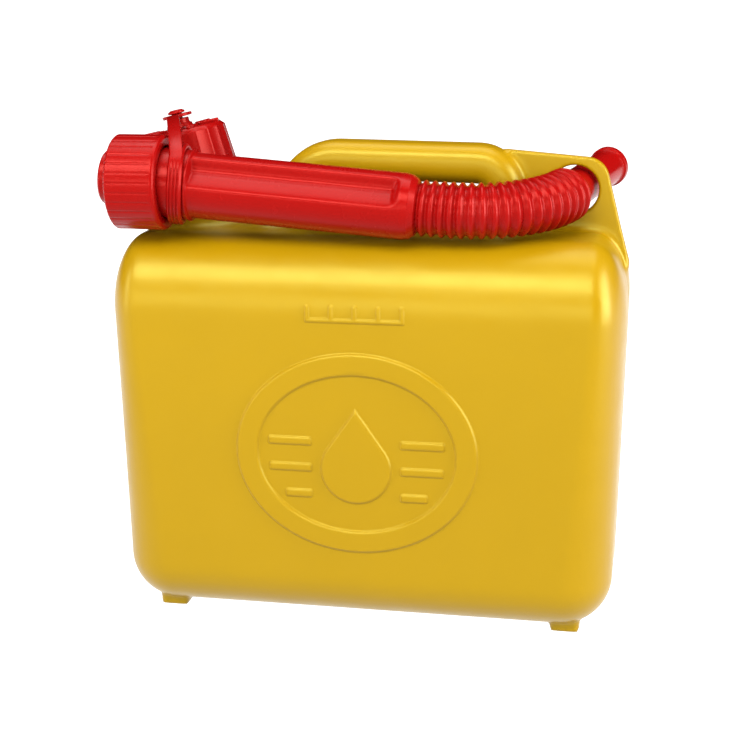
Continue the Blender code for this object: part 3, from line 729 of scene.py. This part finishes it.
def build_neck(material):
    """Threaded finish of the neck, inside the cap."""
    ridge = thread(THREAD_LEAD, 4.0, 16.0, 1.25)
    low = 1.0 - NECK_POCKET_DEPTH
    profile = [(NECK_FINISH_R, low), (NECK_FINISH_R, NECK_RIM), (NECK_BORE_R, NECK_RIM), (NECK_BORE_R, low)]
    profile = refined(softened(profile, 0.7), 0.5)

    def shape(angles, radius, h):
        return ridge(angles, radius, h) if radius > NECK_FINISH_R - 0.8 else 0.0

    points, faces = turned(profile, 96, NECK_FRAME, shape)
    return add_piece("neck_finish", points, faces, material, "can", ())


def cap_shape(angles, radius, h):
    """Lands and grooves on the skirt, and a helical thread inside it."""
    if radius > CAP_TOP_R - 0.6 and 0 < h < CAP_HEIGHT:
        return facets(CAP_LANDS, radius, CAP_HOLLOW)(angles) * float(smoothstep((h - 2.0) / 0.6))
    if abs(radius - CAP_BORE_R) < 0.3 and 1 < h < 20:
        return -thread(THREAD_LEAD, 2.5, 15.0, 0.5)(angles, radius, h + THREAD_LEAD / 2)
    return 0.0


def build_cap(material):
    """Screw cap: skirt with lands, chamfered top with raised bars, stepped stub and mushroom stud."""
    top = CAP_HEIGHT
    outer = softened(
        [
            (CAP_BORE_R, top - 3.0),
            (CAP_BORE_R, 0.0),
            (CAP_R + 0.15, 0.0),
            (CAP_R + 0.15, 1.9),
            (CAP_R, 2.2),
            (CAP_TOP_R, top - 2.4),
            (CAP_TOP_R - 2.4, top),
        ],
        0.5,
        closed=False,
    )
    head = top + STUD_HEIGHT
    inner = softened(
        [
            (CAP_TOP_R - 2.4, top),
            (10.6, top),
            (10.0, top + 1.0),
            (7.2, top + 1.0),
            (6.8, top + 2.6),
            (5.9, top + 2.8),
            (5.7, top + 5.5),
            (STUD_R, top + 5.6),
            (STUD_R, head - 2.2),
            (STUD_HEAD_R, head - 2.0),
            (STUD_HEAD_R, head - 1.0),
            (STUD_HEAD_R - 1.6, head - 0.1),
            (0.6, head),
        ],
        0.35,
        closed=False,
    )
    profile = refined(outer[:-1] + inner, 1.4, closed=False)
    body = turned(profile, CAP_LANDS * 12, NECK_FRAME, cap_shape, closed=False)
    parts = [body]
    for index in range(CAP_BARS):
        angle = 2 * math.pi * (index + 0.5) / CAP_BARS
        spin = NECK_FRAME @ Matrix.Rotation(angle, 4, "Z")
        parts.append(rounded_bar(spin, 11.5, 22.0, 1.3, top - 0.8, top + 1.6))
    points, faces = merged(*parts)
    return add_piece("screw_cap", points, faces, material, "cap", ["filler_cap"])


def rounded_bar(matrix, x0, x1, half, low, high):
    """Bar along X with rounded upper edges."""
    rings = []
    for inset, z in ((0.0, low), (0.0, high - 0.6), (0.12, high - 0.3), (0.35, high - 0.08), (0.7, high)):
        ring = []
        hx = (x1 - x0) / 2 - inset
        hy = half - inset
        r = min(half * 0.9, hy * 0.95)
        for quarter, (sx, sy) in enumerate(((1, 1), (-1, 1), (-1, -1), (1, -1))):
            centre_x = sx * (hx - r) + (x0 + x1) / 2
            for k in range(5):
                a = math.pi / 2 * (quarter + k / 4)
                ring.append((centre_x + r * math.cos(a), sy * (hy - r) + r * math.sin(a), z))
        rings.append(placed(ring, matrix))
    return skin(rings)


def nut_shape(angles, radius, h):
    """Broad lands between fine grooves outside, and a helical thread inside."""
    if radius > NUT_R - 1.4:
        high = NUT_LENGTH - NUT_CHAMFER - 0.6
        return grooves(NUT_LANDS, NUT_GROOVE_DEPTH, -3.0, high, NUT_GROOVE_SHARE)(angles, radius, h)
    if abs(radius - NUT_BORE_R) < 0.3:
        return -thread(THREAD_LEAD, 1.5, 15.0, 0.9)(angles, radius, h)
    return 0.0


def build_nut(material):
    """Union nut with an end wall that holds the spout's collar."""
    end_wall = NUT_LENGTH - NUT_WALL
    hole = COLLAR_R + NUT_PLAY
    profile = softened(
        [
            (NUT_BORE_R, 0.0),
            (NUT_R - 0.8, 0.0),
            (NUT_R, 0.8),
            (NUT_R, NUT_LENGTH - NUT_CHAMFER),
            (NUT_R - 0.5, NUT_LENGTH - 0.7),
            (NUT_R - NUT_CHAMFER, NUT_LENGTH),
            (hole, NUT_LENGTH),
            (hole, end_wall),
            (NUT_BORE_R, end_wall),
        ],
        0.7,
    )
    profile = refined(profile, 0.8)
    points, faces = turned(profile, NUT_LANDS * 12, nut_frame(), nut_shape)
    return add_piece("union_ring", points, faces, material, "nut", ["union_nut"])


def flute(angles, h, start, end):
    """Two opposite scooped flutes with ridges along their sides and rounded ends."""
    depth = np.zeros_like(angles)
    reach = FLUTE_WIDTH / 2
    over = max(start - h, h - end, 0.0) / FLUTE_END
    for middle in (FLUTE_ANGLE, FLUTE_ANGLE + math.pi):
        off = ((angles - middle + math.pi) % (2 * math.pi) - math.pi) / reach
        away = np.abs(off)
        level = (away**FLUTE_SQUARE + over**FLUTE_SQUARE) ** (1 / FLUTE_SQUARE)
        scoop = 1.0 - level**3
        soft = np.log1p(np.exp(np.clip(scoop * 16.0, -60, 60))) / 16.0
        depth += FLUTE_DEPTH * np.minimum(soft, 1.0) * (1 - FLUTE_SKEW * np.clip(off, -1, 1))
    return -depth


def build_tube(material):
    """Spout tube with its inlet spigot, flange, collar, flutes and the shoulder to the bellows."""
    end = (TUBE_END_X - NUT_END[0]) / TUBE_AXIS.x
    flange_r = NUT_BORE_R - NUT_PLAY
    inner = TUBE_R - FLUTE_ROOM - TUBE_WALL
    profile = softened(
        [
            (SPIGOT_R - 2.3, -6.9),
            (SPIGOT_R - 0.9, -6.9),
            (SPIGOT_R, -6.0),
            (SPIGOT_R, FLANGE_FACE - FLANGE_THICK),
            (flange_r, FLANGE_FACE - FLANGE_THICK),
            (flange_r, FLANGE_FACE),
            (COLLAR_R, FLANGE_FACE),
            (COLLAR_R, COLLAR_END - 0.2),
            (FLANGE_R, COLLAR_END),
            (FLANGE_R, COLLAR_END + 0.6),
            (TUBE_R + 0.3, COLLAR_END + 1.4),
            (TUBE_R, COLLAR_END + 2.2),
            (TUBE_R, end - 7.5),
            (TUBE_R - 0.7, end - 4.0),
            (CREST_R, end - 1.2),
            (ROOT_R, end),
            (BELLOWS_BORE_R, end),
            (inner, end - 6.0),
            (inner, 2.0),
        ],
        0.45,
    )
    profile = refined(profile, 1.6)
    start, stop = COLLAR_END - 10.0, end - 14.3

    def shape(angles, radius, h):
        if radius < TUBE_R - 1.5 or h < COLLAR_END + 1.0 or h > end - 2:
            return 0.0
        return flute(angles, h, start, stop)

    points, faces = turned(profile, 128, tube_frame(), shape)
    return add_piece("pouring_tube", points, faces, material, "spout", ["spout_tube"])


def bellows_radius(s):
    """Radius of the corrugated outside, easing to plain ends."""
    wave = 0.5 - 0.5 * math.cos(2 * math.pi * s / CREST_PITCH)
    ease = float(smoothstep(min(s, BELLOWS_LENGTH - s) / 2.0))
    return ROOT_R + (CREST_R - ROOT_R) * wave**0.85 * ease


def build_bellows(material):
    """Five stretches that meet halfway between the hinge places, each curved round one of them."""
    halfway = [(hinge_length(i) + hinge_length(i + 1)) / 2 for i in range(1, HINGES)]
    joins = [0.0, *halfway, BELLOWS_LENGTH]
    for index in range(1, HINGES + 1):
        low, high = joins[index - 1], joins[index]
        count = max(8, int(round((high - low) / (CREST_PITCH / 12))))
        rings = []
        angles = 2 * np.pi * np.arange(BELLOWS_SIDES) / BELLOWS_SIDES
        for wall in (0, 1):
            stations = np.linspace(low, high, count + 1) if wall == 0 else np.linspace(high, low, 13)
            for s in stations:
                radius = bellows_radius(s) if wall == 0 else BELLOWS_BORE_R
                ring = np.stack([radius * np.cos(angles), radius * np.sin(angles), 0 * angles], 1)
                rings.append(placed(ring, bellows_frame(s)))
        points, faces = skin(rings, closed=True)
        nodes = [f"bellows_{index}"] + (["bellows_6"] if index == HINGES else [])
        name = f"bellows_fold_{index}"
        piece = add_piece(name, points, faces, material, None, nodes)
        middle = hinge_length(index)
        start = to_frame(bellows_point(middle - HINGE_HALF))
        end = to_frame(bellows_point(middle + HINGE_HALF))
        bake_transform(piece)


def build_nozzle(material):
    """Smooth nozzle with a thicker lip."""
    end = NOZZLE_LENGTH
    start = bellows_point(BELLOWS_LENGTH)
    matrix = axes_matrix(start, NOZZLE_AXIS, (NOZZLE_AXIS.y, -NOZZLE_AXIS.x, 0))
    profile = softened(
        [
            (9.6, 0.15),
            (ROOT_R, 0.15),
            (ROOT_R, 1.2),
            (9.9, 2.6),
            (9.5, end - 5.0),
            (9.6, end - 4.2),
            (NOZZLE_LIP_R, end - 3.2),
            (NOZZLE_LIP_R, end - 0.5),
            (NOZZLE_LIP_R - 0.5, end),
            (NOZZLE_BORE_R + 0.4, end),
            (NOZZLE_BORE_R, end - 0.6),
            (NOZZLE_BORE_R, 3.0),
        ],
        0.4,
    )
    points, faces = turned(refined(profile, 2.0), 72, matrix)
    nodes = ["nozzle"]
    return add_piece("nozzle_end_piece", points, faces, material, "nozzle_end", nodes)


# ---------------------------------------------------------------- tether
def cubic(p0, p1, p2, p3, t):
    """Point and direction on a cubic curve with four control points."""
    u = 1 - t
    point = p0 * u**3 + p1 * 3 * u * u * t + p2 * 3 * u * t * t + p3 * t**3
    along = (p1 - p0) * u * u + (p2 - p1) * 2 * u * t + (p3 - p2) * t * t
    return point, along.normalized()


def loop_sway(angle):
    """How far the slack loop lies along the tube from its back, at an angle from the front."""
    return LOOP_SWAY * ((1 + np.cos(angle)) / 2) ** 2


def loop_point(angle, sunk):
    """Middle of the band where it lies on the loop, or sunk into it, at an angle up from the front."""
    radius = LOOP_R - 0.75 - sunk
    out = Vector((radius * math.cos(angle), -radius * math.sin(angle), 0.0))
    return tube_frame(LOOP_BACK + float(loop_sway(angle))) @ out


def build_strap(material):
    """Eyelet under the stud's head, flat band, and a ridged loop round the spout's collar."""
    low, high = EYELET_LOW, EYELET_LOW + EYELET_THICK
    eyelet = [(EYELET_BORE_R, low), (EYELET_R, low), (EYELET_R, high), (EYELET_BORE_R, high)]
    eyelet = softened(eyelet, 0.45)
    half = LOOP_HALF
    count = LOOP_RIDGES * LOOP_RIDGE_STEPS
    loop = [(LOOP_BORE_R, LOOP_BACK - half), (LOOP_R - 1.1, LOOP_BACK - half)]
    for k in range(count + 1):
        h = LOOP_BACK - half + 0.25 + (2 * half - 0.5) * k / count
        wave = 0.5 - 0.5 * math.cos(2 * math.pi * k / LOOP_RIDGE_STEPS)
        loop.append((LOOP_R - 0.8 + 0.8 * wave**0.8, h))
    loop += [(LOOP_R - 1.1, LOOP_BACK + half), (LOOP_BORE_R, LOOP_BACK + half)]
    loop_points, loop_faces = turned(loop, 96, Matrix.Identity(4))
    angle = np.arctan2(loop_points[:, 1], loop_points[:, 0])
    loop_points[:, 2] += loop_sway(angle)
    loop_points = placed(loop_points, tube_frame())
    start = loop_point(BAND_ANGLE, 0.0)
    end = NECK_FRAME @ Vector((EYELET_R - 1.2, 0.0, (low + high) / 2))
    rise = start + Vector((-3.5, 10.5, 10.5))
    crown = end + Vector((6.0, -20.0, 3.5))
    path = []
    for k in range(BAND_TAIL_STEPS):
        share = k / BAND_TAIL_STEPS
        angle = BAND_ANGLE - BAND_TAIL * (1 - share)
        point = loop_point(angle, BAND_SUNK * (1 - share) ** 2)
        ahead = loop_point(angle + 0.01, BAND_SUNK * (1 - share) ** 2)
        path.append((point, (ahead - point).normalized(), 0.0))
    for k in range(BAND_STEPS + 1):
        t = k / BAND_STEPS
        path.append((*cubic(start, rise, crown, end, t), t))
    rings = []
    for point, along, t in path:
        lean = NECK_LEAN * t - math.atan(TUBE_SLOPE) * (1 - t)
        across = Vector((math.cos(lean), 0, math.sin(lean)))
        across = (across - along * across.dot(along)).normalized()
        up = across.cross(along).normalized()
        ring = []
        for quarter, (sx, sy) in enumerate(((1, 1), (-1, 1), (-1, -1), (1, -1))):
            for j in range(4):
                a = math.pi / 2 * (quarter + j / 3)
                side = sx * BAND_HALF + BAND_CORNER * math.cos(a)
                lift = sy * BAND_HALF_THICK + BAND_CORNER * math.sin(a)
                ring.append(point + across * side + up * lift)
        rings.append([tuple(p) for p in ring])
    parts = [turned(eyelet, 64, NECK_FRAME), (loop_points, loop_faces), skin(rings)]
    points, faces = merged(*parts)
    return add_piece("tether", points, faces, material, "spout", ["tether_strap"])


def build_seals(material):
    """Soft disc in the cap and soft ring under the spout's flange."""
    disc = softened([(0.5, 18.6), (19.3, 18.6), (19.3, 20.6), (0.5, 20.6)], 0.4)
    points, faces = turned(refined(disc, 4.0), 64, NECK_FRAME)
    add_piece("cap_gasket", points, faces, material, "cap_core", ["cap_seal"])
    top = FLANGE_FACE - FLANGE_THICK - 0.3
    ring = softened([(14.1, top - 1.5), (20.1, top - 1.5), (20.1, top - 0.1), (14.1, top - 0.1)], 0.5)
    points, faces = turned(ring, 64, tube_frame())
    add_piece("nut_gasket", points, faces, material, "spout", ["spout_seal"])


# ---------------------------------------------------------------- materials
COLOUR_DRIFT = 0.02
SCUFF_STRETCH = (1.0, 0.06, 0.12)
SCUFF_TURN = (0.2, 0.5, 0.35)


def moulded(name, colour, gloss_tint, roughness, grain, grain_depth, level):
    """Moulded polyethylene: faint colour drift, uneven gloss, fine grain and handling scuffs."""
    material = bpy.data.materials.new(name)
    material.use_nodes = True
    nodes = material.node_tree.nodes
    links = material.node_tree.links
    shader = nodes["Principled BSDF"]
    shader.inputs["Metallic"].default_value = 0.0
    shader.inputs["IOR"].default_value = 1.5
    shader.inputs["Specular Tint"].default_value = (*gloss_tint, 1.0)
    shader.inputs["Specular IOR Level"].default_value = level
    coords = nodes.new("ShaderNodeTexCoord")

    def noise(scale, detail, rough=0.55, stretch=None):
        node = nodes.new("ShaderNodeTexNoise")
        node.inputs["Scale"].default_value = scale
        node.inputs["Detail"].default_value = detail
        node.inputs["Roughness"].default_value = rough
        if stretch:
            mapping = nodes.new("ShaderNodeMapping")
            mapping.inputs["Scale"].default_value = stretch
            mapping.inputs["Rotation"].default_value = SCUFF_TURN
            links.new(coords.outputs["Object"], mapping.inputs["Vector"])
            links.new(mapping.outputs["Vector"], node.inputs["Vector"])
        else:
            links.new(coords.outputs["Object"], node.inputs["Vector"])
        return node

    def ramp(source, low, high, at_low, at_high):
        node = nodes.new("ShaderNodeMapRange")
        node.inputs["From Min"].default_value = low
        node.inputs["From Max"].default_value = high
        node.inputs["To Min"].default_value = at_low
        node.inputs["To Max"].default_value = at_high
        links.new(source, node.inputs["Value"])
        return node

    drift = noise(14.0, 3.0)
    mix = nodes.new("ShaderNodeMix")
    mix.data_type = "RGBA"
    dark = tuple(c * (1 - COLOUR_DRIFT) for c in colour)
    light = tuple(c * (1 + COLOUR_DRIFT) for c in colour)
    mix.inputs["A"].default_value = (*dark, 1.0)
    mix.inputs["B"].default_value = (*light, 1.0)
    links.new(ramp(drift.outputs["Fac"], 0.3, 0.7, 0.0, 1.0).outputs["Result"], mix.inputs["Factor"])
    links.new(mix.outputs["Result"], shader.inputs["Base Color"])

    cloudy = noise(60.0, 4.0)
    gloss = ramp(cloudy.outputs["Fac"], 0.3, 0.7, roughness - 0.035, roughness + 0.045)
    scuff = noise(900.0, 2.0, 0.7, SCUFF_STRETCH)
    worn = ramp(scuff.outputs["Fac"], 0.68, 0.85, 0.0, 0.04)
    total = nodes.new("ShaderNodeMath")
    total.operation = "ADD"
    links.new(gloss.outputs["Result"], total.inputs[0])
    links.new(worn.outputs["Result"], total.inputs[1])
    links.new(total.outputs["Value"], shader.inputs["Roughness"])

    fine = noise(grain, 5.0, 0.6)
    broad = noise(45.0, 2.0)
    height = nodes.new("ShaderNodeMath")
    height.operation = "MULTIPLY_ADD"
    height.inputs[1].default_value = 6.0
    links.new(broad.outputs["Fac"], height.inputs[0])
    links.new(fine.outputs["Fac"], height.inputs[2])
    bump = nodes.new("ShaderNodeBump")
    bump.inputs["Strength"].default_value = 0.6
    bump.inputs["Distance"].default_value = grain_depth
    links.new(height.outputs["Value"], bump.inputs["Height"])
    links.new(bump.outputs["Normal"], shader.inputs["Normal"])
    return material


# ---------------------------------------------------------------- stage, in metres
FLOOR_HALF = 40.0
FLOOR_GREY = 0.15
FLOOR_GLOW = 1.35
BACKDROP_GLOW = 1.0
SKY_STRENGTH = 0.45
LIGHTS = (  # name, place, target, width, height, watts
    ("overhead", (-0.15, -0.95, 1.1), (0.0, 0.0, 0.2), 1.4, 0.5, 38.0),
    ("front_box", (-0.25, -1.6, 0.42), (0.0, 0.0, 0.15), 2.2, 0.3, 19.0),
    ("right_box", (1.5, -0.25, 0.55), (0.0, 0.0, 0.12), 0.9, 1.2, 54.0),
    ("left_box", (-1.4, -0.7, 0.5), (0.0, 0.0, 0.15), 0.35, 1.0, 11.0),
    ("top_box", (0.0, 0.1, 1.4), (0.0, 0.0, 0.2), 1.2, 0.8, 13.0),
)
CAMERA_PLACE = (144.014, -762.622, 336.349)  # millimetres from the middle of the can
CAMERA_AZIMUTH = math.radians(11.127)
CAMERA_ELEVATION = math.radians(15.0)
CAMERA_ROLL = math.radians(-0.618)
CAMERA_LENS = 73.24


def glowing(name, grey, glow):
    """Matt material that gives off white light of its own."""
    material = bpy.data.materials.new(name)
    material.use_nodes = True
    shader = material.node_tree.nodes["Principled BSDF"]
    shader.inputs["Base Color"].default_value = (grey, grey, grey, 1)
    shader.inputs["Roughness"].default_value = 0.9
    shader.inputs["Specular IOR Level"].default_value = 0.0
    shader.inputs["Emission Color"].default_value = (1, 1, 1, 1)
    shader.inputs["Emission Strength"].default_value = glow
    return material


def build_floor():
    """Pale floor."""
    half = FLOOR_HALF
    mesh = bpy.data.meshes.new("floor")
    corners = [(-half, -half, 0), (half, -half, 0), (half, half, 0), (-half, half, 0)]
    mesh.from_pydata(corners, [], [(0, 1, 2, 3)])
    mesh.materials.append(glowing("floor_paint", FLOOR_GREY, FLOOR_GLOW))
    floor = bpy.data.objects.new("floor", mesh)
    bpy.context.scene.collection.objects.link(floor)


def build_backdrop():
    """White dome that only the camera sees, and a dim sky that lights the shaded sides."""
    scene = bpy.context.scene
    world = bpy.data.worlds.new("studio")
    world.use_nodes = True
    world.node_tree.nodes["Background"].inputs["Color"].default_value = (1, 1, 1, 1)
    world.node_tree.nodes["Background"].inputs["Strength"].default_value = SKY_STRENGTH
    scene.world = world
    world.cycles_visibility.glossy = False
    mesh = bpy.data.meshes.new("backdrop")
    work = bmesh.new()
    bmesh.ops.create_icosphere(work, subdivisions=4, radius=FLOOR_HALF * 1.2)
    work.to_mesh(mesh)
    work.free()
    mesh.materials.append(glowing("backdrop_glow", 0.0, BACKDROP_GLOW))
    dome = bpy.data.objects.new("backdrop", mesh)
    scene.collection.objects.link(dome)
    dome.visible_diffuse = False
    dome.visible_glossy = False
    dome.visible_transmission = False
    dome.visible_shadow = False


def build_lights():
    """Soft boxes above, in front and at both sides."""
    for name, spot, target, width, height, watts in LIGHTS:
        data = bpy.data.lights.new(name, "AREA")
        data.shape = "RECTANGLE"
        data.size = width
        data.size_y = height
        data.energy = watts
        lamp = bpy.data.objects.new(name, data)
        lamp.location = spot
        lamp.rotation_mode = "QUATERNION"
        lamp.rotation_quaternion = (Vector(target) - Vector(spot)).to_track_quat("-Z", "Y")
        bpy.context.scene.collection.objects.link(lamp)


def build_stage():
    """Plain display transform, floor, backdrop and lights."""
    scene = bpy.context.scene
    scene.view_settings.view_transform = "Standard"
    scene.view_settings.look = "None"
    build_floor()
    build_backdrop()
    build_lights()


def build_camera():
    """Camera in front of the can, a little to its right and above, with a slight roll."""
    level = math.cos(CAMERA_ELEVATION)
    back = Vector(
        (math.sin(CAMERA_AZIMUTH) * level, -math.cos(CAMERA_AZIMUTH) * level, math.sin(CAMERA_ELEVATION))
    )
    right = Vector((math.cos(CAMERA_AZIMUTH), math.sin(CAMERA_AZIMUTH), 0))
    up = back.cross(right)
    rolled_right = right * math.cos(CAMERA_ROLL) + up * math.sin(CAMERA_ROLL)
    rolled_up = up * math.cos(CAMERA_ROLL) - right * math.sin(CAMERA_ROLL)
    matrix = Matrix((rolled_right, rolled_up, back)).transposed().to_4x4()
    matrix.translation = Vector(to_frame(CAMERA_PLACE))
    data = bpy.data.cameras.new("camera")
    data.sensor_width = 36.0
    data.lens = CAMERA_LENS
    data.clip_start = 0.01
    camera = bpy.data.objects.new("camera", data)
    camera.matrix_world = matrix
    bpy.context.scene.collection.objects.link(camera)
    bpy.context.scene.camera = camera


YELLOW = ((0.205, 0.114, 0.0006), (0.9, 1.0, 0.25))  # pigment, and the tint of its gloss
RED = ((0.158, 0.0012, 0.001), (1.0, 0.16, 0.13))
RUBBER = ((0.045, 0.045, 0.05), (1.0, 1.0, 1.0))


def main():
    """Stage, camera, materials and every piece."""
    yellow = moulded("yellow_polyethylene", *YELLOW, 0.31, 1500.0, 0.00006, 0.42)
    red = moulded("red_polyethylene", *RED, 0.26, 2200.0, 0.00003, 0.32)
    rubber = moulded("seal_rubber", *RUBBER, 0.7, 2600.0, 0.00005, 0.5)
    build_stage()
    build_camera()
    build_can(yellow)
    build_neck(yellow)
    build_cap(red)
    build_nut(red)
    build_tube(red)
    build_bellows(red)
    build_nozzle(red)
    build_strap(red)
    build_seals(rubber)


main()
